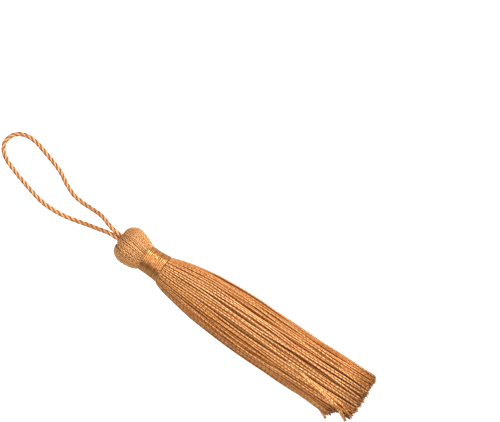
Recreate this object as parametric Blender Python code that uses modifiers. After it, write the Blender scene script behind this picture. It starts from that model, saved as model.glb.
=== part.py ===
"""Yarn tassel on a twisted hanging loop, lying on a surface. Metres, +Z up.

X runs along the tassel, from the loop through the head to the cut ends of the skirt. The
origin is on the surface, under the widest part of the head.
"""
import math
import random
from collections import namedtuple

import bmesh
import bpy
import numpy as np

MM = 0.001
WELD = 0.002 * MM

# The tassel's axis lies a little lower than the head's radius, which leaves a small flat underneath.
AXIS_HEIGHT = 5.05 * MM

# Head, neck and collar: the outline of a turned form, in mm, from the dimple that the loop comes
# out of to the collar that the skirt springs from. Every second lengthwise line is sunk, which
# leaves the ones between as yarns.
Ring = namedtuple("Ring", "x radius")
CORE_PROFILE = (
    Ring(-1.9, 2.05),
    Ring(-2.6, 2.15),
    Ring(-3.0, 2.55),
    Ring(-2.95, 3.2),
    Ring(-2.6, 3.9),
    Ring(-2.0, 4.5),
    Ring(-1.2, 4.93),
    Ring(-0.4, 5.17),
    Ring(0.3, 5.24),
    Ring(1.2, 5.17),
    Ring(2.6, 4.93),
    Ring(4.0, 4.48),
    Ring(5.1, 3.95),
    Ring(5.1, 2.9),
    Ring(12.0, 2.9),
    Ring(12.0, 3.9),
    Ring(12.8, 4.35),
)
CORE_STEPS = 72
YARN_RELIEF = 0.1 * MM
RIDGED_FROM_RADIUS = 3.6 * MM

# The head leans a little to the +Y side of the neck, in mm.
Lean = namedtuple("Lean", "x across")
HEAD_LEAN = (
    Lean(1.0, 0.42),
    Lean(2.6, 0.26),
    Lean(4.0, 0.10),
    Lean(5.1, 0.0),
)

# Neck wrap: a sleeve round the neck, 0.3 mm clear of it all round, and wider towards the skirt.
WRAP_INNER_RADIUS = 3.2 * MM
WRAP_PROFILE = (
    Ring(5.4, 3.60),
    Ring(5.7, 3.74),
    Ring(8.0, 3.68),
    Ring(10.0, 3.80),
    Ring(11.4, 3.92),
    Ring(11.7, 3.80),
)
WRAP_STEPS = 48

# Skirt: strands spread from a circle at the collar's end face into a rounded hump on the surface.
STRAND_COUNT = 190
STRAND_RADIUS = 0.30 * MM
ROOT_THINNING = 0.58
ROOT_FACE = 12.8 * MM
ROOT_CIRCLE = 4.05 * MM
SETTLED_FROM = 38.0 * MM
SETTLING_POWER = 2.3
SKIRT_HALF_WIDTH = 7.65 * MM
SKIRT_DEPTH = 6.6 * MM
SKIRT_ROUNDNESS = 2.4
SKIRT_LEAN = 0.4 * MM
FLARE = 0.05
WAVE = 0.05 * MM
STRAND_SEED = 11

# Where the strands' points lie along X, in mm, before their ends. The first is inside the collar.
STRAND_STATIONS = (12.3, 14.6, 18.0, 23.0, 31.0, 45.0)

# Cut ends: one edge of the skirt is cut shorter than the middle, and the other hardly at all.
SKIRT_END = 76.0 * MM
LENGTH_SPREAD = 1.1 * MM
SHORT_EDGE = 4.5 * MM
SHORT_EDGE_FROM = 0.62
LONG_EDGE = 0.8 * MM

# Hanging loop: one cord of three plies, out of the head and back into it. Its middle height on the
# surface leaves the plies just clear of it. The route is in mm.
CORD_PLIES = 3
CORD_RADIUS = 0.6 * MM
CORD_GROOVE_RADIUS = 0.44 * MM
PLY_SHOULDER = math.radians(24)
TWIST_PITCH = 5.25 * MM
STEPS_PER_TURN = 12
RoutePoint = namedtuple("RoutePoint", "x y z")
CORD_ROUTE = (
    RoutePoint(-2.2, 0.1, 4.7),
    RoutePoint(-4.6, 0.1, 4.7),
    RoutePoint(-7.0, 0.0, 4.3),
    RoutePoint(-10.0, -0.5, 3.1),
    RoutePoint(-13.2, -1.0, 1.6),
    RoutePoint(-16.5, -1.7, 0.75),
    RoutePoint(-20.5, -2.5, 0.62),
    RoutePoint(-24.5, -2.8, 0.62),
    RoutePoint(-28.3, -2.5, 0.62),
    RoutePoint(-33.3, -1.3, 0.62),
    RoutePoint(-38.4, 0.2, 0.62),
    RoutePoint(-42.2, 1.6, 0.62),
    RoutePoint(-44.6, 3.4, 0.62),
    RoutePoint(-45.6, 5.9, 0.62),
    RoutePoint(-44.7, 8.6, 0.62),
    RoutePoint(-42.2, 10.2, 0.62),
    RoutePoint(-38.8, 10.4, 0.62),
    RoutePoint(-35.2, 9.5, 0.62),
    RoutePoint(-31.4, 8.4, 0.62),
    RoutePoint(-28.0, 7.2, 0.62),
    RoutePoint(-24.6, 5.3, 0.62),
    RoutePoint(-21.2, 3.9, 0.68),
    RoutePoint(-17.8, 3.4, 1.1),
    RoutePoint(-14.4, 3.3, 2.2),
    RoutePoint(-11.2, 3.0, 3.6),
    RoutePoint(-8.2, 2.05, 4.8),
    RoutePoint(-6.0, 1.45, 5.25),
    RoutePoint(-4.4, 1.24, 5.4),
    RoutePoint(-2.2, 1.24, 5.4),
)


def clear_scene():
    for item in list(bpy.data.objects):
        bpy.data.objects.remove(item, do_unlink=True)


def make_collection(name):
    collection = bpy.data.collections.new(name)
    bpy.context.scene.collection.children.link(collection)
    return collection


def make_material(name, colour, roughness, sheen):
    material = bpy.data.materials.new(name)
    material.use_nodes = True
    shader = material.node_tree.nodes["Principled BSDF"]
    shader.inputs["Base Color"].default_value = (*colour, 1.0)
    shader.inputs["Roughness"].default_value = roughness
    shader.inputs["Metallic"].default_value = 0.0
    shader.inputs["Sheen Weight"].default_value = sheen
    return material


def add_object(name, data, collection):
    item = bpy.data.objects.new(name, data)
    collection.objects.link(item)
    return item


def hide_guide(item):
    item.hide_render = True
    item.display_type = "WIRE"


def as_mesh_object(item, name, collection):
    """Replaces an object by a plain mesh of its evaluated shape, with the caps of a curve welded on."""
    bpy.context.view_layer.update()
    evaluated = item.evaluated_get(bpy.context.evaluated_depsgraph_get())
    mesh = bpy.data.meshes.new_from_object(evaluated)
    mesh.transform(item.matrix_world)
    bpy.data.objects.remove(item, do_unlink=True)
    body = bmesh.new()
    body.from_mesh(mesh)
    bmesh.ops.remove_doubles(body, verts=body.verts, dist=WELD)
    bmesh.ops.recalc_face_normals(body, faces=body.faces)
    body.to_mesh(mesh)
    body.free()
    mesh.name = name
    return add_object(name, mesh, collection)


def in_metres(profile):
    return [(ring.x * MM, ring.radius * MM) for ring in profile]


def turned(name, points, closed, steps, collection):
    """Turns an outline of (x, radius) points about the tassel's axis."""
    mesh = bpy.data.meshes.new(name)
    edges = [(i, i + 1) for i in range(len(points) - 1)]
    if closed:
        edges.append((len(points) - 1, 0))
    mesh.from_pydata([(x, 0.0, radius) for x, radius in points], edges, [])
    item = add_object(name, mesh, collection)
    item.location.z = AXIS_HEIGHT
    screw = item.modifiers.new("Turn", "SCREW")
    screw.axis = "X"
    screw.steps = steps
    screw.render_steps = steps
    screw.use_merge_vertices = True
    screw.merge_threshold = WELD
    return item


def raise_yarns(mesh):
    """Sinks every second lengthwise line of head and collar."""
    step_angle = 2 * math.pi / CORE_STEPS
    for vertex in mesh.vertices:
        across = vertex.co.y
        up = vertex.co.z - AXIS_HEIGHT
        radius = math.hypot(across, up)
        step = round(math.atan2(up, across) / step_angle)
        if radius > RIDGED_FROM_RADIUS and step % 2:
            kept = 1 - YARN_RELIEF / radius
            vertex.co.y = across * kept
            vertex.co.z = AXIS_HEIGHT + up * kept


def lean_and_rest(mesh):
    """Moves the head to the side that it leans to, and flattens it where it rests."""
    places, leans = np.array(HEAD_LEAN).T * MM
    for vertex in mesh.vertices:
        vertex.co.y += float(np.interp(vertex.co.x, places, leans))
        vertex.co.z = max(vertex.co.z, 0.0)


def cap_open_rims(mesh):
    """Closes each open rim of a turned form with one flat face."""
    body = bmesh.new()
    body.from_mesh(mesh)
    rims = [edge for edge in body.edges if edge.is_boundary]
    bmesh.ops.holes_fill(body, edges=rims, sides=0)
    bmesh.ops.recalc_face_normals(body, faces=body.faces)
    body.to_mesh(mesh)
    body.free()


def circle_fill(across, up):
    """1 on the rim of the root circle, less inside it."""
    return np.hypot(across, up) / ROOT_CIRCLE


def skirt_fill(across, up):
    """1 on the outline of the settled skirt, a rounded hump on a flat base, and less inside it."""
    power = SKIRT_ROUNDNESS
    return ((np.abs(across) / SKIRT_HALF_WIDTH) ** power + (np.abs(up) / SKIRT_DEPTH) ** power) ** (1 / power)


def even_places(fill, half_width, lowest, highest):
    """Places of an even triangular lattice inside a section, as many as there are strands."""
    pitch = 2 * half_width / math.sqrt(STRAND_COUNT)
    while True:
        heights = np.arange(lowest, highest, pitch * math.sqrt(3) / 2)
        columns = np.arange(-half_width, half_width, pitch)
        across, up = np.meshgrid(columns - columns.mean(), heights)
        across[1::2] += pitch / 2
        places = np.column_stack([across.ravel(), up.ravel()])
        order = np.argsort(fill(places[:, 0], places[:, 1]), kind="stable")
        chosen = places[order[:STRAND_COUNT]]
        if len(chosen) == STRAND_COUNT and fill(*chosen[-1]) <= 1:
            return chosen
        pitch *= 0.995


def pair_without_crossings(starts, ends):
    """Gives each start an end, and swaps ends while that shortens the paths, so that none cross."""
    cost = ((starts[:, None] - ends[None]) ** 2).sum(axis=2)
    match = np.arange(len(starts))
    match[np.argsort(starts[:, 0], kind="stable")] = np.argsort(ends[:, 0], kind="stable")
    while True:
        own = cost[np.arange(len(starts)), match]
        swapped = cost[:, match]
        gain = own[:, None] + own[None] - swapped - swapped.T
        first, second = np.unravel_index(np.argmax(gain), gain.shape)
        if gain[first, second] < WELD ** 2:
            return ends[match]
        match[[first, second]] = match[[second, first]]


def settled_share(x):
    """How far a strand has spread from its root, 0, to its settled place, 1."""
    share = min(max((x - ROOT_FACE) / (SETTLED_FROM - ROOT_FACE), 0.0), 1.0)
    return 1 - (1 - share) ** SETTLING_POWER


def strand_end(across, chance):
    """The edge strands end short of the middle ones, and each ends a little off its line."""
    side = across / SKIRT_HALF_WIDTH
    short_edge = SHORT_EDGE * max(-side - SHORT_EDGE_FROM, 0.0) / (1 - SHORT_EDGE_FROM)
    long_edge = LONG_EDGE * max(side, 0.0) ** 2
    return SKIRT_END - short_edge - long_edge + chance.uniform(-LENGTH_SPREAD, LENGTH_SPREAD)


def strand_points(root, place, chance):
    """Centre line of one strand as (x, y, z, thickness), the lowest ones level on the surface."""
    on_surface = place[1] < STRAND_RADIUS
    points = []
    for x in [station * MM for station in STRAND_STATIONS] + [strand_end(place[0], chance)]:
        share = settled_share(x)
        beyond = max(x - SETTLED_FROM, 0.0) / (SKIRT_END - SETTLED_FROM)
        wave = WAVE if beyond else 0.0
        across = root[0] + (SKIRT_LEAN + place[0] * (1 + FLARE * beyond ** 2) - root[0]) * share
        across += chance.uniform(-wave, wave)
        up = AXIS_HEIGHT + root[1] + (place[1] - AXIS_HEIGHT - root[1]) * share
        if not on_surface:
            up += chance.uniform(-wave, wave)
        points.append((x, across, up, ROOT_THINNING + (1 - ROOT_THINNING) * share))
    return points


def make_section(name, outline, collection):
    """A closed flat outline, given as (radius, angle) pairs, for a curve to carry along its path."""
    curve = bpy.data.curves.new(name, "CURVE")
    curve.dimensions = "2D"
    spline = curve.splines.new("POLY")
    spline.points.add(len(outline) - 1)
    for point, (radius, angle) in zip(spline.points, outline):
        point.co = (radius * math.cos(angle), radius * math.sin(angle), 0.0, 1.0)
    spline.use_cyclic_u = True
    section = add_object(name, curve, collection)
    hide_guide(section)
    return section


def swept_curve(name, section, collection):
    curve = bpy.data.curves.new(name, "CURVE")
    curve.dimensions = "3D"
    curve.twist_mode = "Z_UP"
    curve.bevel_mode = "OBJECT"
    curve.bevel_object = section
    curve.use_fill_caps = True
    curve.render_resolution_u = 0
    return add_object(name, curve, collection)


def make_strands(parts, guides):
    """The skirt's strands: thin three-sided rods, one flat side down, none touching another."""
    roots = even_places(circle_fill, ROOT_CIRCLE, -ROOT_CIRCLE, ROOT_CIRCLE)
    places = even_places(skirt_fill, SKIRT_HALF_WIDTH, STRAND_RADIUS / 2, SKIRT_DEPTH)
    places = pair_without_crossings(roots, places)
    chance = random.Random(STRAND_SEED)
    triangle = [(STRAND_RADIUS, math.radians(angle)) for angle in (90, 210, 330)]
    item = swept_curve("strand_curves", make_section("strand_section", triangle, guides), parts)
    for root, place in zip(roots, places):
        points = strand_points(root, place, chance)
        spline = item.data.splines.new("POLY")
        spline.points.add(len(points) - 1)
        for point, (x, across, up, thickness) in zip(spline.points, points):
            point.co = (x, across, up, 1.0)
            point.radius = thickness
    strands = as_mesh_object(item, "strands", guides)
    hide_guide(strands)
    return strands


def make_yarn_bundle(parts, guides):
    """Head, neck, collar and strands: one hank of yarn, so one solid."""
    core = turned("core", in_metres(CORE_PROFILE), False, CORE_STEPS, parts)
    core = as_mesh_object(core, "yarn_bundle", parts)
    raise_yarns(core.data)
    lean_and_rest(core.data)
    cap_open_rims(core.data)
    join = core.modifiers.new("Strands fused at their roots", "BOOLEAN")
    join.operation = "UNION"
    join.solver = "EXACT"
    join.object = make_strands(parts, guides)
    core.data.materials.append(make_material("yarn", (0.55, 0.24, 0.08), 0.55, 0.3))


def make_neck_wrap(parts):
    outer = in_metres(WRAP_PROFILE)
    inner = [(outer[0][0], WRAP_INNER_RADIUS), (outer[-1][0], WRAP_INNER_RADIUS)]
    wrap = turned("neck_wrap", inner + outer[::-1], True, WRAP_STEPS, parts)
    wrap.data.materials.append(make_material("floss", (0.58, 0.25, 0.09), 0.4, 0.2))


def smooth_route(spacing):
    """Evenly spaced points on a smooth curve through the route's own points, and how far each is."""
    knots = np.array(CORD_ROUTE) * MM
    padded = np.vstack([2 * knots[0] - knots[1], knots, 2 * knots[-1] - knots[-2]])
    before, here, there, after = padded[:-3], padded[1:-2], padded[2:-1], padded[3:]
    share = np.linspace(0, 1, 40, endpoint=False)[:, None, None]
    pieces = 0.5 * (
        2 * here
        + (there - before) * share
        + (2 * before - 5 * here + 4 * there - after) * share ** 2
        + (3 * here - 3 * there + after - before) * share ** 3
    )
    fine = np.vstack([pieces.transpose(1, 0, 2).reshape(-1, 3), knots[-1]])
    travelled = np.concatenate([[0], np.cumsum(np.linalg.norm(np.diff(fine, axis=0), axis=1))])
    marks = np.linspace(0, travelled[-1], round(travelled[-1] / spacing) + 1)
    return marks, np.column_stack([np.interp(marks, travelled, fine[:, i]) for i in range(3)])


def ply_outline():
    """The plies side by side as one outline: each has two shoulders, and a groove follows it."""
    outline = []
    for number in range(CORD_PLIES):
        middle = 2 * math.pi * number / CORD_PLIES
        outline.append((CORD_RADIUS, middle - PLY_SHOULDER))
        outline.append((CORD_RADIUS, middle + PLY_SHOULDER))
        outline.append((CORD_GROOVE_RADIUS, middle + math.pi / CORD_PLIES))
    return outline


def make_hanging_loop(parts, guides):
    """The section turns once for each pitch along the route, as a right-hand twist."""
    marks, points = smooth_route(TWIST_PITCH / STEPS_PER_TURN)
    item = swept_curve("loop_curve", make_section("cord_section", ply_outline(), guides), parts)
    spline = item.data.splines.new("POLY")
    spline.points.add(len(points) - 1)
    for point, mark, place in zip(spline.points, marks, points):
        point.co = (*place, 1.0)
        point.tilt = 2 * math.pi * mark / TWIST_PITCH
    loop = as_mesh_object(item, "hanging_loop", parts)
    loop.data.materials.append(make_material("cord", (0.60, 0.29, 0.12), 0.5, 0.3))


def shade(parts):
    for item in parts.objects:
        item.data.shade_smooth()
        item.data.set_sharp_from_angle(angle=math.radians(50))


clear_scene()
tassel_parts = make_collection("tassel")
guide_shapes = make_collection("guides")
make_yarn_bundle(tassel_parts, guide_shapes)
make_neck_wrap(tassel_parts)
make_hanging_loop(tassel_parts, guide_shapes)
shade(tassel_parts)
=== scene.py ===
import math

import bpy
import numpy as np
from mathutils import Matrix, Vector


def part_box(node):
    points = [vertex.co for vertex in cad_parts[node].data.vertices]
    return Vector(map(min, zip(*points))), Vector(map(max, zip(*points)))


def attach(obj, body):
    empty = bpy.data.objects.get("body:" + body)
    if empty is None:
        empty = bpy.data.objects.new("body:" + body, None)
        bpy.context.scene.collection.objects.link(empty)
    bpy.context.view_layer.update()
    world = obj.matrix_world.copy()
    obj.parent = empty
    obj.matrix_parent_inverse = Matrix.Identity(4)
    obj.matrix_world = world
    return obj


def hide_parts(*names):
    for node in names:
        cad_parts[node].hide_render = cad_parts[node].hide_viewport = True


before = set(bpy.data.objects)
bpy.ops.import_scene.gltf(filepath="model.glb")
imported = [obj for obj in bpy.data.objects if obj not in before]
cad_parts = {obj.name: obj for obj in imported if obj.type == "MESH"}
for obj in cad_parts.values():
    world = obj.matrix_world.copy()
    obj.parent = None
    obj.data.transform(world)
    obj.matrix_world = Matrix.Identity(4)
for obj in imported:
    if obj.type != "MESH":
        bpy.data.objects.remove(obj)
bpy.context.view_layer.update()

# Silky tassel on a twisted cord loop, lying on a pale table. X runs from the head to the cut ends.

mm = 0.001
wrapLow, wrapHigh = (np.array(corner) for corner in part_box("neck_wrap"))
axisHeight = (wrapLow[2] + wrapHigh[2]) / 2


# Camera: a long lens, nearly straight above, turned so that the tassel points down to the right

cameraLook = {
    "aim": (22.2 * mm, 26.8 * mm, 5.0 * mm),    # what lies in the middle of the picture
    "azimuth": 34.0,
    "elevation": 80.0,
    "distance": 0.9,
    "pictureWidth": 137.8 * mm,                 # what the picture's width takes in at that distance
    "sensorWidth": 36.0,
}


def horizontalDirection(azimuth):
    turn = math.radians(azimuth)
    return Vector((-math.sin(turn), math.cos(turn), 0.0))


def makeCamera(look):
    data = bpy.data.cameras.new("camera")
    data.sensor_width = look["sensorWidth"]
    data.lens = look["sensorWidth"] * look["distance"] / look["pictureWidth"]
    data.clip_start = 0.01
    camera = bpy.data.objects.new("camera", data)
    bpy.context.scene.collection.objects.link(camera)
    tilt = math.radians(look["elevation"])
    forward = horizontalDirection(look["azimuth"]) * math.cos(tilt) + Vector((0, 0, -math.sin(tilt)))
    camera.location = Vector(look["aim"]) - forward * look["distance"]
    camera.rotation_euler = forward.to_track_quat("-Z", "Y").to_euler()
    bpy.context.scene.camera = camera


makeCamera(cameraLook)
print("camera made")


# Curves and tubes, worked out as whole arrays

def unit(vectors):
    return vectors / np.linalg.norm(vectors, axis=-1, keepdims=True)


# Between two neighbouring knots runs a cubic whose slope at each knot is half the chord between
# the knots on either side of it. The points then stand at even steps along its length.
def smoothPath(knots, count):
    padded = np.vstack([2 * knots[0] - knots[1], knots, 2 * knots[-1] - knots[-2]])
    before, here, there, after = padded[:-3], padded[1:-2], padded[2:-1], padded[3:]
    share = np.linspace(0, 1, 40, endpoint=False)[:, None, None]
    pieces = 0.5 * (
        2 * here
        + (there - before) * share
        + (2 * before - 5 * here + 4 * there - after) * share ** 2
        + (3 * here - 3 * there + after - before) * share ** 3
    )
    fine = np.vstack([pieces.transpose(1, 0, 2).reshape(-1, knots.shape[1]), knots[-1]])
    travelled = np.concatenate([[0], np.cumsum(np.linalg.norm(np.diff(fine, axis=0), axis=1))])
    marks = np.linspace(0, travelled[-1], count)
    return np.column_stack([np.interp(marks, travelled, column) for column in fine.T])


def pathMarks(paths):
    steps = np.linalg.norm(np.diff(paths, axis=-2), axis=-1)
    return np.concatenate([np.zeros_like(steps[..., :1]), np.cumsum(steps, axis=-1)], axis=-1)


# The two directions across a path: sideways, and the one nearest to the outward direction
def acrossPath(paths, outward):
    along = unit(np.gradient(paths, axis=-2))
    sideways = unit(np.cross(along, outward))
    return sideways, np.cross(sideways, along)


# Each rim is an ellipse in the plane across the path, the outline's own radii laid on it: point
# plus sideways times cos(angle) times half width plus outwards times sin(angle) times half depth.
def tubeRims(paths, outward, halfWidth, halfDepth, outline, turn=0.0):
    sideways, upwards = acrossPath(paths, outward)
    angle = 2 * math.pi * (np.arange(len(outline)) / len(outline) + 0.25) + np.asarray(turn)[..., None]
    wide = (np.asarray(halfWidth)[..., None] * np.cos(angle) * outline)[..., None]
    deep = (np.asarray(halfDepth)[..., None] * np.sin(angle) * outline)[..., None]
    return paths[..., None, :] + sideways[..., None, :] * wide + upwards[..., None, :] * deep


# Plies wound round each path as right-hand helices: path plus sideways times cos(turn) times one
# distance plus outwards times sin(turn) times the other, where turn falls by 2 pi every pitch.
def windPlies(paths, outward, count, wide, deep, pitch, start):
    sideways, upwards = acrossPath(paths, outward)
    first = 2 * math.pi * np.arange(count)[None, :, None] / count
    turn = first + (start - 2 * math.pi * pathMarks(paths) / pitch)[:, None, :]
    wide = np.broadcast_to(wide, paths.shape[:2])[:, None, :, None]
    deep = np.broadcast_to(deep, paths.shape[:2])[:, None, :, None]
    away = (sideways[:, None] * np.cos(turn)[..., None] * wide
            + upwards[:, None] * np.sin(turn)[..., None] * deep)
    plies = paths[:, None] + away
    return plies.reshape(-1, *paths.shape[1:]), unit(away).reshape(-1, *paths.shape[1:])


# Painted shade for the gap beside each rim point, by how deep it lies there: 0 from a little below
# the crest outwards, and 1 from the given level inwards. The level of a point is its height over the
# path in half depths.
def paintedGapShade(rims, paths, outward, halfDepth, crest=0.5, bottom=-0.5):
    level = ((rims - paths[..., None, :]) * unit(outward)[..., None, :]).sum(axis=-1) / halfDepth
    return np.clip((crest - level) / (crest - bottom), 0, 1)


# One mesh from the rims of many tubes. Rims are joined by rings of four-sided faces, and an open
# tube is closed by triangles round a middle point. The map holds the share of the way round and
# the millimetres along. Tone and the amount of painted shade are kept for each point.
def meshFromRims(name, rims, marks, tones, paintedShade, closedRing=False):
    tubes, rings, sides, _ = rims.shape
    points = rims.reshape(-1, 3)
    values = [np.broadcast_to(value, rims.shape[:3]) for value in (tones, paintedShade)]
    pointValues = [value.ravel() for value in values]
    ringSteps = rings if closedRing else rings - 1
    tube, ring, side = np.meshgrid(np.arange(tubes), np.arange(ringSteps), np.arange(sides), indexing="ij")
    here = (tube * rings + ring) * sides
    there = (tube * rings + (ring + 1) % rings) * sides
    nextSide = (side + 1) % sides
    quads = np.stack([here + side, there + side, there + nextSide, here + nextSide], axis=-1).reshape(-1, 4)
    around = np.stack([side, side, side + 1, side + 1], axis=-1).reshape(-1) / sides
    nearMark = marks[tube, ring] / mm
    farMark = marks[tube, np.minimum(ring + 1, rings - 1)] / mm
    distance = np.stack([nearMark, farMark, farMark, nearMark], axis=-1).reshape(-1)
    corners = quads.ravel()
    firstCorner = np.arange(0, len(corners), 4)
    if not closedRing:
        tube, side = np.meshgrid(np.arange(tubes), np.arange(sides), indexing="ij")
        nextSide = (side + 1) % sides
        first = tube * rings * sides
        last = first + (rings - 1) * sides
        startPoint = len(points) + tube
        startCaps = np.stack([startPoint, first + side, first + nextSide], axis=-1).reshape(-1)
        endCaps = np.stack([startPoint + tubes, last + nextSide, last + side], axis=-1).reshape(-1)
        capCorners = np.concatenate([startCaps, endCaps])
        firstCorner = np.concatenate([firstCorner, len(corners) + np.arange(0, len(capCorners), 3)])
        corners = np.concatenate([corners, capCorners])
        points = np.vstack([points, rims[:, 0].mean(axis=1), rims[:, -1].mean(axis=1)])
        around = np.concatenate([around, np.zeros(len(capCorners))])
        endDistance = np.repeat([marks[:, 0] / mm, marks[:, -1] / mm], 3 * sides, axis=1)
        distance = np.concatenate([distance, endDistance.ravel()])
        pointValues = [np.concatenate([flat, value[:, 0].mean(axis=1), value[:, -1].mean(axis=1)])
                       for flat, value in zip(pointValues, values)]
    mesh = bpy.data.meshes.new(name)
    mesh.vertices.add(len(points))
    mesh.vertices.foreach_set("co", points.astype(np.float32).ravel())
    mesh.loops.add(len(corners))
    mesh.loops.foreach_set("vertex_index", corners.astype(np.int32))
    mesh.polygons.add(len(firstCorner))
    mesh.polygons.foreach_set("loop_start", firstCorner.astype(np.int32))
    mesh.update(calc_edges=True)
    layer = mesh.uv_layers.new(name="yarnMap")
    layer.data.foreach_set("uv", np.column_stack([around, distance]).astype(np.float32).ravel())
    for label, flat in zip(("yarnTone", "yarnPaintedShade"), pointValues):
        attribute = mesh.attributes.new(label, "FLOAT", "POINT")
        attribute.data.foreach_set("value", flat.astype(np.float32))
    mesh.shade_smooth()
    mesh.validate()
    return mesh


def addPiece(name, mesh, material, node):
    piece = bpy.data.objects.new(name, mesh)
    bpy.context.scene.collection.objects.link(piece)
    mesh.materials.append(material)
    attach(piece, "root")
    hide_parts(node)
    return piece


# Shader helpers

def addNode(tree, kind, **settings):
    node = tree.nodes.new(kind)
    for key, value in settings.items():
        setattr(node, key, value)
    return node


def plug(tree, value, socket):
    if isinstance(value, bpy.types.NodeSocket):
        tree.links.new(value, socket)
    else:
        socket.default_value = value


def calc(tree, operation, *values, clamp=False):
    node = addNode(tree, "ShaderNodeMath", operation=operation, use_clamp=clamp)
    for value, socket in zip(values, node.inputs):
        plug(tree, value, socket)
    return node.outputs["Value"]


def mixColours(tree, share, first, second):
    node = addNode(tree, "ShaderNodeMix", data_type="RGBA")
    plug(tree, share, node.inputs["Factor"])
    plug(tree, first, node.inputs["A"])
    plug(tree, second, node.inputs["B"])
    return node.outputs["Result"]


def readAttribute(tree, name):
    return addNode(tree, "ShaderNodeAttribute", attribute_name=name).outputs["Fac"]


def noiseAt(tree, stretch, detail):
    place = addNode(tree, "ShaderNodeTexCoord")
    mapping = addNode(tree, "ShaderNodeMapping")
    mapping.inputs["Scale"].default_value = stretch
    noise = addNode(tree, "ShaderNodeTexNoise")
    tree.links.new(place.outputs["Object"], mapping.inputs["Vector"])
    tree.links.new(mapping.outputs["Vector"], noise.inputs["Vector"])
    noise.inputs["Scale"].default_value = 1.0
    noise.inputs["Detail"].default_value = detail
    return noise.outputs["Fac"]


def newGroup(name, inputs, outputs):
    tree = bpy.data.node_groups.new(name, "ShaderNodeTree")
    for label, kind, value in inputs:
        socket = tree.interface.new_socket(name=label, in_out="INPUT", socket_type=kind)
        socket.default_value = value
    for label, kind in outputs:
        tree.interface.new_socket(name=label, in_out="OUTPUT", socket_type=kind)
    return tree, addNode(tree, "NodeGroupInput"), addNode(tree, "NodeGroupOutput")


# Twisted plies on a round yarn: the height is |sin| of half turns that climb along the yarn as
# they go round it, each yarn starting at its own turn. The groove is the valley between two plies,
# which the tone group darkens as painted shade.
def makePlyGroup():
    tree, given, put = newGroup(
        "twistedPlies",
        [("Plies", "NodeSocketFloat", 2.0), ("Ridges Per Millimetre", "NodeSocketFloat", 0.6),
         ("Fuzz", "NodeSocketFloat", 0.25)],
        [("Height", "NodeSocketFloat"), ("Groove", "NodeSocketFloat")],
    )
    place = addNode(tree, "ShaderNodeUVMap", uv_map="yarnMap")
    parts = addNode(tree, "ShaderNodeSeparateXYZ")
    tree.links.new(place.outputs["UV"], parts.inputs["Vector"])
    start = calc(tree, "MULTIPLY", readAttribute(tree, "yarnTone"), 37.0)
    climb = calc(tree, "MULTIPLY_ADD", parts.outputs["Y"], given.outputs["Ridges Per Millimetre"], start)
    climb = calc(tree, "MULTIPLY_ADD", noiseAt(tree, (90, 500, 500), 1.0), 1.8, climb)
    phase = calc(tree, "MULTIPLY_ADD", parts.outputs["X"], given.outputs["Plies"], climb)
    ridge = calc(tree, "ABSOLUTE", calc(tree, "SINE", calc(tree, "MULTIPLY", phase, math.pi)))
    fuzz = calc(tree, "MULTIPLY", noiseAt(tree, (3000, 11000, 11000), 2.0), given.outputs["Fuzz"])
    tree.links.new(calc(tree, "ADD", ridge, fuzz), put.inputs["Height"])
    groove = calc(tree, "SUBTRACT", 1.0, calc(tree, "MULTIPLY", ridge, 1.4, clamp=True))
    tree.links.new(groove, put.inputs["Groove"])
    return tree


# Yarn colour: each yarn's own tone, slow patches and fine fibres choose between the dark and the
# light dye. Gaps between yarns and grooves between plies go towards the shade colour: painted shade.
def makeToneGroup():
    tree, given, put = newGroup(
        "yarnTones",
        [("Dark", "NodeSocketColor", (0.4, 0.15, 0.04, 1)), ("Light", "NodeSocketColor", (0.7, 0.33, 0.12, 1)),
         ("Shade", "NodeSocketColor", (0.2, 0.06, 0.02, 1)), ("Groove", "NodeSocketFloat", 0.0),
         ("Painted Groove Shade", "NodeSocketFloat", 0.5), ("Painted Gap Shade", "NodeSocketFloat", 0.8)],
        [("Colour", "NodeSocketColor")],
    )
    patches = noiseAt(tree, (220, 900, 900), 2.0)
    fibres = noiseAt(tree, (1200, 3000, 3000), 2.0)
    tone = readAttribute(tree, "yarnTone")
    mixed = calc(tree, "MULTIPLY_ADD", tone, 0.6, calc(tree, "MULTIPLY", patches, 0.9))
    mixed = calc(tree, "MULTIPLY_ADD", fibres, 2.2, calc(tree, "SUBTRACT", mixed, 1.3), clamp=True)
    dyed = mixColours(tree, mixed, given.outputs["Dark"], given.outputs["Light"])
    # Painted shade in the ply grooves, where a slow noise lets the twist show, and painted shade in the gaps: the
    # deeper of the two takes the colour towards the shade colour
    twist = calc(tree, "MULTIPLY_ADD", noiseAt(tree, (60, 260, 260), 1.0), 3.2, -0.6, clamp=True)
    groove = calc(tree, "MULTIPLY", given.outputs["Groove"], given.outputs["Painted Groove Shade"])
    groove = calc(tree, "MULTIPLY", groove, twist)
    gap = calc(tree, "MULTIPLY", readAttribute(tree, "yarnPaintedShade"), given.outputs["Painted Gap Shade"])
    depth = calc(tree, "MAXIMUM", groove, gap)
    tree.links.new(mixColours(tree, depth, dyed, given.outputs["Shade"]), put.inputs["Colour"])
    return tree


plyGroup = makePlyGroup()
toneGroup = makeToneGroup()


# The dyes are linear colours. The shade colour in each set is painted shade, which gaps and grooves go towards.
yarnDyesAndShade = {"light": (0.78, 0.445, 0.2, 1), "dark": (0.51, 0.235, 0.064, 1), "shade": (0.24, 0.047, 0.002, 1)}


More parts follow.
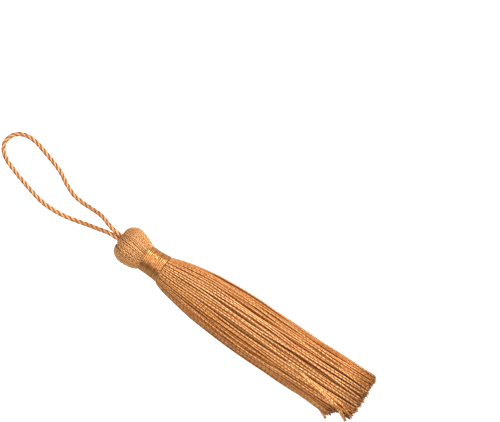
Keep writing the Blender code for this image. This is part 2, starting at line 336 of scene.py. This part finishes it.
def yarnMaterial(name, look, dyesAndShade=yarnDyesAndShade):
    material = bpy.data.materials.new(name)
    material.use_nodes = True
    tree = material.node_tree
    shader = tree.nodes["Principled BSDF"]
    plies = addNode(tree, "ShaderNodeGroup", node_tree=plyGroup)
    plies.inputs["Plies"].default_value = look["plies"]
    plies.inputs["Ridges Per Millimetre"].default_value = look["ridges"]
    plies.inputs["Fuzz"].default_value = look["fuzz"]
    tones = addNode(tree, "ShaderNodeGroup", node_tree=toneGroup)
    # The shade colour is painted shade, mixed in by the gap and groove amounts
    tones.inputs["Dark"].default_value = dyesAndShade["dark"]
    tones.inputs["Light"].default_value = dyesAndShade["light"]
    tones.inputs["Shade"].default_value = dyesAndShade["shade"]
    tones.inputs["Painted Groove Shade"].default_value = look["paintedGrooveShade"]
    tones.inputs["Painted Gap Shade"].default_value = look["paintedGapShade"]
    bump = addNode(tree, "ShaderNodeBump")
    bump.inputs["Strength"].default_value = 1.0
    bump.inputs["Distance"].default_value = look["relief"]
    tree.links.new(plies.outputs["Groove"], tones.inputs["Groove"])
    tree.links.new(tones.outputs["Colour"], shader.inputs["Base Color"])
    tree.links.new(plies.outputs["Height"], bump.inputs["Height"])
    tree.links.new(bump.outputs["Normal"], shader.inputs["Normal"])
    shader.inputs["Roughness"].default_value = look["roughness"]
    shader.inputs["Metallic"].default_value = look["satin"]
    shader.inputs["Sheen Weight"].default_value = look["sheen"]
    shader.inputs["Sheen Roughness"].default_value = 0.4
    shader.inputs["Specular IOR Level"].default_value = look["gloss"]
    shader.inputs["Specular Tint"].default_value = (1.0, 0.76, 0.54, 1)
    return material


# Hanging loop: one cord of three plies, out of the head's dimple and back into it

loopLook = {
    "diameter": 1.2 * mm,
    "plies": 3,
    "twistPitch": 5.25 * mm,
    "plyOffset": 0.34 * mm,
    "plyHalfWidth": 0.37 * mm,
    "plyHalfDepth": 0.31 * mm,
    "fineYarns": 6,
    "finePitch": 2.6 * mm,
    "fineRelief": 0.06,
    "rings": 640,
    "tones": (0.8, 0.4, 0.6),
    "material": {"plies": 6.0, "ridges": 0.0, "fuzz": 0.5, "paintedGrooveShade": 0.2, "paintedGapShade": 0.85,
                 "relief": 0.02 * mm, "roughness": 0.5, "satin": 0.3, "sheen": 0.0, "gloss": 0.2},
    "dyesAndShade": {"light": (0.78, 0.405, 0.2, 1), "dark": (0.52, 0.225, 0.08, 1), "shade": (0.26, 0.072, 0.014, 1)},
}

# The route's own points in millimetres, the same as the solid's
cordRoute = np.array([
    (-2.2, 0.1, 4.7),
    (-4.6, 0.1, 4.7),
    (-7.0, 0.0, 4.3),
    (-10.0, -0.5, 3.1),
    (-13.2, -1.0, 1.6),
    (-16.5, -1.7, 0.75),
    (-20.5, -2.5, 0.62),
    (-24.5, -2.8, 0.62),
    (-28.3, -2.5, 0.62),
    (-33.3, -1.3, 0.62),
    (-38.4, 0.2, 0.62),
    (-42.2, 1.6, 0.62),
    (-44.6, 3.4, 0.62),
    (-45.6, 5.9, 0.62),
    (-44.7, 8.6, 0.62),
    (-42.2, 10.2, 0.62),
    (-38.8, 10.4, 0.62),
    (-35.2, 9.5, 0.62),
    (-31.4, 8.4, 0.62),
    (-28.0, 7.2, 0.62),
    (-24.6, 5.3, 0.62),
    (-21.2, 3.9, 0.68),
    (-17.8, 3.4, 1.1),
    (-14.4, 3.3, 2.2),
    (-11.2, 3.0, 3.6),
    (-8.2, 2.05, 4.8),
    (-6.0, 1.45, 5.25),
    (-4.4, 1.24, 5.4),
    (-2.2, 1.24, 5.4),
]) * mm


# The fine yarns of a ply wind round it the other way, as a lobed section that turns along it
def makeLoop(look):
    route = smoothPath(cordRoute, look["rings"])[None]
    upwards = np.broadcast_to((0.0, 0.0, 1.0), route.shape)
    plies, outward = windPlies(route, upwards, look["plies"], look["plyOffset"], look["plyOffset"],
                               look["twistPitch"], 0.0)
    marks = pathMarks(plies)
    outline = 1 + look["fineRelief"] * np.cos(math.pi * np.arange(2 * look["fineYarns"]))
    halfWidth = np.full(marks.shape, look["plyHalfWidth"])
    halfDepth = np.full(marks.shape, look["plyHalfDepth"])
    rims = tubeRims(plies, outward, halfWidth, halfDepth, outline, 2 * math.pi * marks / look["finePitch"])
    rims[..., 2] = np.maximum(rims[..., 2], 0.0)
    # Painted shade between the plies and on their inner sides
    paintedShade = paintedGapShade(rims, plies, outward, look["plyHalfDepth"], 0.95, 0.35)
    tones = np.array(look["tones"])[:, None, None]
    mesh = meshFromRims("loop_cord", rims, marks, tones, paintedShade)
    material = yarnMaterial("cordYarn", look["material"], look["dyesAndShade"])
    piece = addPiece("loop_cord", mesh, material, "hanging_loop")


makeLoop(loopLook)


# Head: two-ply yarns folded over a ball, from the dimple to the neck, over a second layer and a core

headLook = {
    "yarns": 62,
    "halfDepth": 0.27 * mm,
    "underLayer": 0.30 * mm,
    "unevenness": 0.06 * mm,
    "drift": math.radians(7),
    "plyPitch": 2.3 * mm,
    "plySides": 6,
    "rings": 92,
    "underRings": 20,
    "partingAngle": 2.2,                       # where the yarns part at the dimple, with a small dark notch
    "partingWidth": 0.22,
    "strayYarn": 2,                            # the yarn that stands proud along the upper edge
    "strayLift": 0.16 * mm,
    "seed": 3,
    "material": {"plies": 2.0, "ridges": 0.0, "fuzz": 0.5, "paintedGrooveShade": 0.0, "paintedGapShade": 0.8,
                 "relief": 0.02 * mm, "roughness": 0.46, "satin": 0.35, "sheen": 0.0, "gloss": 0.15},
}

# Middle line of a yarn from inside the dimple to under the wrap: millimetres along X and of radius
headPath = np.array([
    (-1.5, 2.40),
    (-2.45, 2.45),
    (-2.72, 2.72),
    (-2.68, 3.12),
    (-2.4, 3.72),
    (-1.84, 4.28),
    (-1.08, 4.70),
    (-0.36, 4.96),
    (0.3, 5.06),
    (1.15, 5.02),
    (2.5, 4.80),
    (3.85, 4.44),
    (4.85, 4.05),
    (5.4, 3.62),
    (6.4, 3.20),
]) * mm

# How far the head leans to the +Y side of the neck: millimetres along X and to the side
headLean = np.array([(0.0, 0.36), (1.0, 0.34), (2.6, 0.18), (4.0, 0.06), (5.2, 0.06), (6.0, 0.0)]) * mm


def aroundAxis(x, radius, angle):
    lean = np.interp(x, headLean[:, 0], headLean[:, 1])
    return np.stack([x + 0 * angle, lean + radius * np.cos(angle), axisHeight + radius * np.sin(angle)], axis=-1)


# A yarn follows the head's outline at its own angle, which drifts a few degrees on the way. Its
# width is its share of the circle there, so the yarns crowd at the dimple and at the neck.
def headYarnPaths(look, rings, lift, chance):
    count = look["yarns"]
    line = smoothPath(headPath, rings)
    slope = unit(np.gradient(line, axis=0))
    share = np.linspace(0, 1, rings)
    angle = 2 * math.pi * (np.arange(count) + chance.uniform(-0.12, 0.12, count))[:, None] / count
    angle = angle + look["drift"] * chance.normal(1.0, 0.15, count)[:, None] * (share - 0.5)
    angle = angle + 0.01 * np.sin(5 * share + chance.uniform(0, 6, count)[:, None])
    fromParting = angle - look["partingAngle"]
    atRim = np.exp(-((line[:, 0] + 2.6 * mm) / (0.8 * mm)) ** 2)
    angle = angle + look["partingWidth"] * np.tanh(fromParting / 0.04) * np.exp(-np.abs(fromParting) / 0.22) * atRim
    raised = lift + look["unevenness"] * chance.uniform(-1, 1, count)[:, None] * np.sin(math.pi * share)
    stray = (np.arange(count) == look["strayYarn"])[:, None] * (lift >= 0)
    raised = raised + stray * look["strayLift"] * np.sin(math.pi * np.clip(share * 1.5 - 0.15, 0, 1)) ** 2
    x = line[:, 0] - raised * slope[:, 1]
    radius = line[:, 1] + raised * slope[:, 0]
    outward = np.stack([-slope[:, 1] + 0 * angle, slope[:, 0] * np.cos(angle), slope[:, 0] * np.sin(angle)], axis=-1)
    return aroundAxis(x, radius, angle), outward, math.pi * radius / count


def makeHead(look):
    chance = np.random.default_rng(look["seed"])
    count = look["yarns"]
    material = yarnMaterial("headYarn", look["material"])
    paths, outward, halfWidth = headYarnPaths(look, look["rings"], 0.0, chance)
    start = chance.uniform(0, 2 * math.pi, count)[:, None]
    plies, plyOutward = windPlies(paths, outward, 2, halfWidth * 0.4, look["halfDepth"] * 0.44,
                                  look["plyPitch"], start)
    plyHalf = np.repeat(halfWidth * 0.58, 2, axis=0)
    plyDeep = np.full(plyHalf.shape, look["halfDepth"] * 0.54)
    marks = pathMarks(plies)
    outline = np.ones(look["plySides"])
    rims = tubeRims(plies, np.repeat(outward, 2, axis=0), plyHalf, plyDeep, outline)
    # Painted shade between the yarns and on the plies that lie lower
    paintedShade = paintedGapShade(rims, np.repeat(paths, 2, axis=0), np.repeat(outward, 2, axis=0), look["halfDepth"], 0.88, 0.0)
    rims[..., 2] = np.maximum(rims[..., 2], 0.0)
    tones = chance.uniform(0.45, 1.0, count)
    tones[look["strayYarn"]] = 1.0
    mesh = meshFromRims("head_yarns", rims, marks, np.repeat(tones, 2)[:, None, None], paintedShade)
    addPiece("head_yarns", mesh, material, "yarn_bundle")
    paths, outward, halfWidth = headYarnPaths(look, look["underRings"], -look["underLayer"], chance)
    halfDepth = np.full(halfWidth.shape, look["halfDepth"])
    rims = tubeRims(paths, outward, halfWidth, halfDepth, np.ones(6))
    # The under layer gets a low tone and painted shade, both for the shade it lies in under the outer yarns
    mesh = meshFromRims("head_under_yarns", rims, pathMarks(paths), 0.3, 0.4)
    addPiece("head_under_yarns", mesh, material, "yarn_bundle")
    print("head made,", count, "yarns")


makeHead(headLook)


# Core: what lies behind the yarns, from the floor of the dimple through the neck to the roots.
# Its near-black colours are painted shade, for the dark behind and between the yarns.

coreLook = {
    "steps": 64,
    "rings": 60,
    "material": {"plies": 40.0, "ridges": 0.0, "fuzz": 0.5, "paintedGrooveShade": 0.6, "paintedGapShade": 0.0,
                 "relief": 0.05 * mm, "roughness": 0.7, "satin": 0.0, "sheen": 0.0, "gloss": 0.2},
    # Painted shade: near-black browns, seen in the dimple and between the yarns
    "dyesAndShade": {"light": (0.12, 0.035, 0.009, 1), "dark": (0.07, 0.02, 0.005, 1), "shade": (0.03, 0.008, 0.002, 1)},
}

# Turned outline: millimetres along X and of radius
coreOutline = np.array([
    (-2.05, 0.3),
    (-2.1, 1.9),
    (-2.2, 2.5),
    (-2.3, 3.1),
    (-1.6, 3.9),
    (-0.8, 4.3),
    (0.3, 4.55),
    (2.5, 4.25),
    (4.2, 3.6),
    (5.2, 2.9),
    (11.0, 2.9),
    (12.6, 2.7),
    (16.0, 0.4),
]) * mm


def makeCore(look):
    line = smoothPath(coreOutline, look["rings"])
    angle = 2 * math.pi * np.arange(look["steps"]) / look["steps"]
    rims = aroundAxis(line[:, :1], line[:, 1:], -angle[None, :])[None]
    mesh = meshFromRims("head_core", rims, pathMarks(line)[None], 0.5, 0.0)
    addPiece("head_core", mesh, yarnMaterial("coreYarnPaintedShade", look["material"], look["dyesAndShade"]), "yarn_bundle")
    print("core made")


makeCore(coreLook)


# Neck wrap: floss wound round and round

wrapLook = {
    "thread": 0.5 * mm,
    "pointsPerThread": 10,
    "steps": 110,
    "ridge": 0.09 * mm,
    "innerRadius": 3.62 * mm,
    "wander": 0.30,                            # how far a turn strays, in threads
    "slack": 0.06 * mm,                        # how much one turn stands higher than another
    "material": {"plies": 0.0, "ridges": 0.0, "fuzz": 0.5, "paintedGrooveShade": 0.0, "paintedGapShade": 0.75,
                 "relief": 0.015 * mm, "roughness": 0.36, "satin": 0.65, "sheen": 0.0, "gloss": 0.2},
    "dyesAndShade": {"light": (0.55, 0.275, 0.1, 1), "dark": (0.29, 0.08, 0.015, 1), "shade": (0.12, 0.02, 0.002, 1)},
}

# The wrap's outline: millimetres along X and of radius
wrapOutline = np.array([(5.36, 3.6), (5.45, 3.76), (5.75, 3.84), (8.0, 3.82), (10.0, 3.94), (11.3, 4.1),
                        (11.65, 4.04), (11.75, 3.85)]) * mm


# The radius at a place along X and an angle: the outline, less a valley between each two threads,
# where threads = x / thread + turns round + a slow wander, and each turn has its own height.
def makeWrap(look):
    length = wrapOutline[-1, 0] - wrapOutline[0, 0]
    rings = int(length / look["thread"] * look["pointsPerThread"])
    x = wrapOutline[0, 0] + np.linspace(0, length, rings)[:, None]
    angle = -2 * math.pi * np.arange(look["steps"])[None, :] / look["steps"]
    wander = look["wander"] * np.sin(2 * angle + x / (1.7 * mm)) * np.sin(3 * angle - x / (0.9 * mm) + 1)
    threads = x / look["thread"] - angle / (2 * math.pi) + wander
    across = 2 * (threads % 1) - 1
    height = np.sin(np.floor(threads) * 2.4) * np.sin(np.floor(threads) * 0.9 + angle)
    radius = np.interp(x, wrapOutline[:, 0], wrapOutline[:, 1]) - look["ridge"] * across ** 2
    radius = radius - look["slack"] * (0.5 - 0.5 * height) * (1 - across ** 4)
    outer = aroundAxis(x, radius, angle)
    inner = aroundAxis(x[[-1, 0]], np.full((2, 1), look["innerRadius"]), angle)
    rims = np.concatenate([outer, inner], axis=0)[None]
    marks = np.concatenate([x[:, 0], x[[-1, 0], 0]])[None]
    # Each turn has its own tone. The valleys between turns and the sleeve's end faces get painted shade, the end
    # faces the dark dye as well
    tones = np.concatenate([0.55 + 0.45 * height, np.zeros((2, look["steps"]))])[None]
    paintedShade = np.concatenate([across ** 4, np.ones((2, look["steps"]))])[None]
    mesh = meshFromRims("neck_floss", rims, marks, tones, paintedShade, closedRing=True)
    addPiece("neck_floss", mesh, yarnMaterial("floss", look["material"], look["dyesAndShade"]), "neck_wrap")
    print("wrap made,", round(length / look["thread"]), "turns")


makeWrap(wrapLook)


# Skirt: strands from under the wrap, spreading into a rounded hump on the table

skirtLook = {
    "shells": 7,
    "shellStep": 0.43 * mm,
    "strandPitch": 0.78 * mm,
    "thickness": 0.65 * mm,
    "rootThickness": 0.44 * mm,
    "sides": 6,
    "rootCircle": 3.40 * mm,
    "rootStep": 0.38 * mm,
    "halfWidth": 7.78 * mm,
    "depth": 6.35 * mm,
    "roundness": 2.4,
    "flare": 0.045,
    "flareFrom": 40.0 * mm,
    "clumps": 46,
    "clumpPull": 0.07,
    "clumpWave": 0.22 * mm,
    "strandWave": 0.14 * mm,
    "clumpLift": 0.11 * mm,
    "strandLift": 0.11 * mm,
    "roaming": 0.08,                           # the share of the strands that wander over their neighbours
    "roamingWave": 0.55 * mm,
    "roamingLift": 0.24 * mm,
    "sunkRange": 0.45 * mm,                    # how deep a strand sinks until it is fully shaded
    "sunkShade": 0.3,
    "underShade": 0.5,                         # how far the strands under the outer ones are shaded
    "end": 76.4 * mm,
    "clumpLength": 0.5 * mm,
    "strandLength": 0.4 * mm,
    "shortEdge": 4.6 * mm,
    "shortEdgeFrom": 0.64,
    "shortEdgeBlend": 0.14,
    "edgeCurve": 0.9 * mm,
    "seed": 11,
    "material": {"plies": 1.0, "ridges": 0.78, "fuzz": 0.5, "paintedGrooveShade": 1.0, "paintedGapShade": 0.95,
                 "relief": 0.065 * mm, "roughness": 0.5, "satin": 0.35, "sheen": 0.0, "gloss": 0.15},
}

# Where each strand has a rim before its end, how far it has spread there from its place in the root
# circle, 0, to its place in the hump, 1, and how far the skirt leans to the +Y side, in millimetres
skirtSpread = np.array([
    (10.8, 0.0, -0.08),
    (11.6, 0.05, -0.08),
    (12.2, 0.17, -0.08),
    (13.1, 0.25, -0.06),
    (14.6, 0.36, 0.0),
    (17.0, 0.49, 0.12),
    (20.5, 0.645, 0.26),
    (25.0, 0.82, 0.33),
    (29.0, 0.895, 0.28),
    (34.0, 0.965, 0.22),
    (39.0, 1.0, 0.2),
    (44.0, 1.0, 0.2),
    (49.0, 1.0, 0.2),
    (54.0, 1.0, 0.2),
    (59.0, 1.0, 0.2),
    (64.0, 1.0, 0.2),
    (68.5, 1.0, 0.2),
])


# One shell of the hump: a superellipse on a flat base, drawn in by its inset. Its strands stand at
# even places round it from the middle of the base, and their roots stand round a circle.
def humpShell(look, shell, chance):
    inset = shell * look["shellStep"]
    low = look["thickness"] / 2 + inset
    turn = np.linspace(0, math.pi, 300)
    power = 2 / look["roundness"]
    across = (look["halfWidth"] - inset) * np.sign(np.cos(turn)) * np.abs(np.cos(turn)) ** power
    up = low + (look["depth"] - inset - low) * np.abs(np.sin(turn)) ** power
    outline = np.vstack([(0, low), np.column_stack([across, up]), (0, low)])
    travelled = np.concatenate([[0], np.cumsum(np.linalg.norm(np.diff(outline, axis=0), axis=1))])
    count = int(travelled[-1] / look["strandPitch"])
    share = (np.arange(count) + 0.5 + chance.uniform(-0.2, 0.2, count)) / count
    marks = share[:, None] * travelled[-1] + np.array([-0.3, 0.0, 0.3]) * mm
    near = np.stack([np.interp(marks, travelled, column) for column in outline.T], axis=-1)
    tangent = unit(near[:, 2] - near[:, 0])
    outward = np.column_stack([tangent[:, 1], -tangent[:, 0]])
    angle = 2 * math.pi * share - math.pi / 2
    radial = np.column_stack([np.cos(angle), np.sin(angle)])
    roots = radial * (look["rootCircle"] - shell * look["rootStep"])
    return near[:, 1], tangent, outward, roots, radial, np.full(count, shell)


# The edge strands end short of the middle ones, and clumps and strands end a little off their line
def strandEnds(look, places, clump, chance):
    side = places[:, 0] / look["halfWidth"]
    short = np.clip((-side - look["shortEdgeFrom"]) / look["shortEdgeBlend"], 0, 1)
    end = look["end"] - look["edgeCurve"] * side ** 2 - look["shortEdge"] * short
    end = end + look["clumpLength"] * chance.uniform(-1, 1, look["clumps"])[clump]
    return end + look["strandLength"] * chance.uniform(-1, 1, len(places))


def slowWave(x, amount, size, members, lengths, chance):
    length = chance.uniform(*lengths, size)[members][:, None]
    start = chance.uniform(0, 2 * math.pi, size)[members][:, None]
    return amount * np.sin(2 * math.pi * x / length + start)


# A strand goes from its place in the root circle to its place in the hump by the spread. On the
# way it is drawn to the middle of its clump, and slow sines wave it along its shell and across it.
def skirtPaths(look, chance):
    shells = [humpShell(look, shell, chance) for shell in range(look["shells"])]
    places, tangent, outward, roots, radial, shell = (np.concatenate(column) for column in zip(*shells))
    count = len(places)
    everyStrand = np.arange(count)
    centres = places[chance.choice(count, look["clumps"], replace=False)]
    clump = ((places[:, None] - centres[None]) ** 2).sum(axis=2).argmin(axis=1)
    ends = strandEnds(look, places, clump, chance)
    x = np.column_stack([np.tile(skirtSpread[:, 0] * mm, (count, 1)), ends])
    share, lean = (np.append(column, column[-1]) for column in skirtSpread[:, 1:].T)
    beyond = np.clip((x - look["flareFrom"]) / (look["end"] - look["flareFrom"]), 0, None)
    slow, quick = (40 * mm, 80 * mm), (18 * mm, 40 * mm)
    along = slowWave(x, look["clumpWave"], look["clumps"], clump, slow, chance)
    along = along + slowWave(x, look["strandWave"], count, everyStrand, quick, chance)
    lift = look["clumpLift"] * chance.uniform(-1, 0.6, look["clumps"])[clump][:, None]
    lift = lift + look["strandLift"] * chance.uniform(-1, 0.6, count)[:, None]
    lift = lift + slowWave(x, look["strandWave"], count, everyStrand, quick, chance)
    roams = ((chance.uniform(0, 1, count) < look["roaming"]) & (shell == 0))[:, None]
    along = share * (along + roams * slowWave(x, look["roamingWave"], count, everyStrand, slow, chance))
    lift = share * (lift + roams * look["roamingLift"])
    settled = (places + look["clumpPull"] * (centres[clump] - places))[:, None]
    settled = settled + tangent[:, None] * along[..., None] + outward[:, None] * lift[..., None]
    widened = np.stack([settled[..., 0] * (1 + look["flare"] * beyond ** 2), settled[..., 1] - axisHeight], axis=-1)
    section = roots[:, None] + (widened - roots[:, None]) * share[None, :, None]
    thickness = look["rootThickness"] + (look["thickness"] - look["rootThickness"]) * share
    up = np.maximum(axisHeight + section[..., 1], thickness / 2)
    paths = np.stack([x, section[..., 0] + lean * mm, up], axis=-1)
    facing = unit(radial[:, None] + (outward - radial)[:, None] * share[None, :, None])
    facing = np.concatenate([np.zeros((*x.shape, 1)), facing], axis=-1)
    sunk = np.clip(0.1 - lift / look["sunkRange"], 0, 1)
    return paths, facing, np.broadcast_to(thickness, x.shape), shell, sunk


tuftLook = {
    "fibres": 8,
    "radius": 0.065 * mm,
    "inside": 0.5 * mm,                        # how far back in the strand a fibre starts
    "shortest": 0.15 * mm,
    "longest": 0.95 * mm,
    "splay": 0.30 * mm,
    "tone": 0.35,
}


# Fibres at each cut end: they start inside the strand and splay out of it by random amounts
def makeTufts(look, paths, thickness, chance):
    count = len(paths)
    tip = np.repeat(paths[:, -1], look["fibres"], axis=0)
    along = np.repeat(unit(paths[:, -1] - paths[:, -2]), look["fibres"], axis=0)
    amount = count * look["fibres"]
    angle = chance.uniform(0, 2 * math.pi, amount)
    across = np.column_stack([np.zeros(amount), np.cos(angle), np.sin(angle)])
    start = across * (np.repeat(thickness[:, -1], look["fibres"]) * chance.uniform(0.1, 0.36, amount))[:, None]
    length = chance.uniform(look["shortest"], look["longest"], amount)[:, None]
    splay = across * look["splay"] * (chance.uniform(0.0, 1.0, amount)[:, None] ** 1.5) * length / look["longest"]
    fibres = np.stack([
        tip + start - along * look["inside"],
        tip + start * 1.15,
        tip + start * 1.15 + along * length + splay,
    ], axis=1)
    radius = look["radius"] * np.array([1.0, 1.0, 0.45]) * chance.uniform(0.7, 1.2, amount)[:, None]
    fibres[..., 2] = np.maximum(fibres[..., 2], radius)
    rims = tubeRims(fibres, np.repeat(across[:, None], 3, axis=1), radius, radius, np.ones(3))
    rims[..., 2] = np.maximum(rims[..., 2], 0.0)
    tones = look["tone"] * chance.uniform(0.2, 1.8, amount)[:, None, None]
    # Painted shade, deepest where a fibre starts inside the strand and least at its tip
    paintedShade = np.array([0.9, 0.7, 0.35])[None, :, None]
    return meshFromRims("cut_tufts", rims, pathMarks(fibres), tones, paintedShade)


strayLook = {
    "thickness": 0.64 * mm,
    "tipThickness": 0.40 * mm,
    "tipFrom": 0.85,                           # the share of its length past which a strand tapers
    "rings": 24,
    "sides": 8,
    "tones": (0.4, 0.2, 0.45, 0.25, 0.1),
    "material": {"plies": 1.0, "ridges": 0.78, "fuzz": 0.5, "paintedGrooveShade": 0.8, "paintedGapShade": 0.95,
                 "relief": 0.05 * mm, "roughness": 0.5, "satin": 0.35, "sheen": 0.0, "gloss": 0.15},
}

# Strands that stick out at the cut edge, a row each: places in millimetres from inside the skirt
strayRoutes = np.array([
    [(54.0, -6.9, 0.9), (60.0, -7.1, 0.8), (64.5, -7.25, 0.7), (68.0, -7.5, 0.45), (71.1, -8.95, 0.36)],
    [(54.0, -6.6, 1.4), (60.0, -6.8, 1.3), (65.0, -6.95, 1.0), (68.4, -7.2, 0.7), (71.3, -8.65, 0.4)],
    [(52.0, -1.8, 5.5), (60.7, -3.2, 5.85), (67.0, -4.2, 5.65), (72.2, -5.2, 5.2), (76.2, -6.9, 3.8)],
    [(52.0, -1.4, 5.5), (60.8, -2.8, 5.9), (67.2, -3.8, 5.75), (72.7, -4.85, 5.3), (76.4, -6.55, 3.95)],
    [(56.0, -2.9, 5.6), (64.0, -3.3, 5.7), (70.0, -3.5, 5.9), (74.0, -4.0, 5.6), (77.4, -5.2, 4.5)],
]) * mm


def makeStrays(look):
    paths = np.stack([smoothPath(route, look["rings"]) for route in strayRoutes])
    share = np.linspace(0, 1, look["rings"])
    taper = np.clip((share - look["tipFrom"]) / (1 - look["tipFrom"]), 0, 1)
    thickness = look["thickness"] + (look["tipThickness"] - look["thickness"]) * taper
    outward = np.broadcast_to((0.0, 0.0, 1.0), paths.shape)
    halfDepth = np.broadcast_to(thickness / 2, paths.shape[:2])
    rims = tubeRims(paths, outward, halfDepth, halfDepth, np.ones(look["sides"]))
    # Painted shade on the lower sides of each strand
    paintedShade = paintedGapShade(rims, paths, outward, halfDepth[..., None], 0.6, -0.4)
    rims[..., 2] = np.maximum(rims[..., 2], 0.0)
    return meshFromRims("stray_strands", rims, pathMarks(paths), np.array(look["tones"])[:, None, None], paintedShade)


def makeSkirt(look):
    chance = np.random.default_rng(look["seed"])
    paths, outward, thickness, shell, sunk = skirtPaths(look, chance)
    rims = tubeRims(paths, outward, thickness / 2, thickness / 2, np.ones(look["sides"]))
    # Painted shade: on the sides of each strand, on strands that sink below their neighbours, and on the inner
    # shells under the outer strands
    paintedShade = paintedGapShade(rims, paths, outward, thickness[..., None] / 2, 0.95, 0.4)
    paintedShade = paintedShade + look["sunkShade"] * sunk[..., None] + look["underShade"] * np.clip(shell, 0, 1)[:, None, None]
    paintedShade = np.clip(paintedShade, 0, 1)
    tones = chance.uniform(0.1, 1.0, len(paths))[:, None, None]
    rims[..., 2] = np.maximum(rims[..., 2], 0.0)
    mesh = meshFromRims("skirt_strands", rims, pathMarks(paths), tones, paintedShade)
    material = yarnMaterial("skirtYarn", look["material"])
    addPiece("skirt_strands", mesh, material, "yarn_bundle")
    addPiece("cut_tufts", makeTufts(tuftLook, paths, thickness, chance), material, "yarn_bundle")
    strayMaterial = yarnMaterial("strayYarn", strayLook["material"])
    addPiece("stray_strands", makeStrays(strayLook), strayMaterial, "yarn_bundle")
    print("skirt made,", len(paths) + len(strayRoutes), "strands")


makeSkirt(skirtLook)


# Table and light

lightLook = {
    "background": 0.08,
    "floorTone": 0.3,
    "floorGlow": 1.1,                          # as the camera sees the floor
    "floorBounce": 0.45,                       # as the floor lights the tassel
    "lightDistance": 0.8,
}

# A light's direction is given as the camera's azimuth and elevation are
lightTable = [
    {"name": "key", "power": 6.6, "size": 0.26, "turn": 345.0, "height": 40.0},
    {"name": "top", "power": 9.6, "size": 0.9, "turn": 214.0, "height": 84.0},
]


def makeFloor(look):
    bpy.ops.mesh.primitive_plane_add(size=6.0, location=(0, 0, -0.02 * mm))
    floor = bpy.context.object
    floor.name = "floor"
    material = bpy.data.materials.new("paleTable")
    material.use_nodes = True
    tree = material.node_tree
    shader = tree.nodes["Principled BSDF"]
    shader.inputs["Base Color"].default_value = (look["floorTone"], look["floorTone"], look["floorTone"], 1)
    shader.inputs["Roughness"].default_value = 0.9
    shader.inputs["Specular IOR Level"].default_value = 0.1
    shader.inputs["Emission Color"].default_value = (1, 1, 1, 1)
    seen = addNode(tree, "ShaderNodeLightPath").outputs["Is Camera Ray"]
    glow = calc(tree, "MULTIPLY_ADD", seen, look["floorGlow"] - look["floorBounce"], look["floorBounce"])
    tree.links.new(glow, shader.inputs["Emission Strength"])
    floor.data.materials.append(material)


def makeAreaLight(name, power, size, turn, height, distance):
    data = bpy.data.lights.new(name, "AREA")
    data.energy = power
    data.shape = "DISK"
    data.size = size
    light = bpy.data.objects.new(name, data)
    bpy.context.scene.collection.objects.link(light)
    lift = math.radians(height)
    away = horizontalDirection(turn) * math.cos(lift) + Vector((0, 0, math.sin(lift)))
    light.location = Vector((20 * mm, 0, 0)) + away * distance
    light.rotation_euler = (-away).to_track_quat("-Z", "Y").to_euler()


def makeLights(look):
    world = bpy.data.worlds.new("studio")
    world.use_nodes = True
    world.node_tree.nodes["Background"].inputs["Color"].default_value = (1.0, 1.0, 1.0, 1)
    world.node_tree.nodes["Background"].inputs["Strength"].default_value = look["background"]
    bpy.context.scene.world = world
    for row in lightTable:
        makeAreaLight(row["name"], row["power"], row["size"], row["turn"], row["height"], look["lightDistance"])
    bpy.context.scene.view_settings.view_transform = "Standard"


makeFloor(lightLook)
makeLights(lightLook)
print("table and lights made")
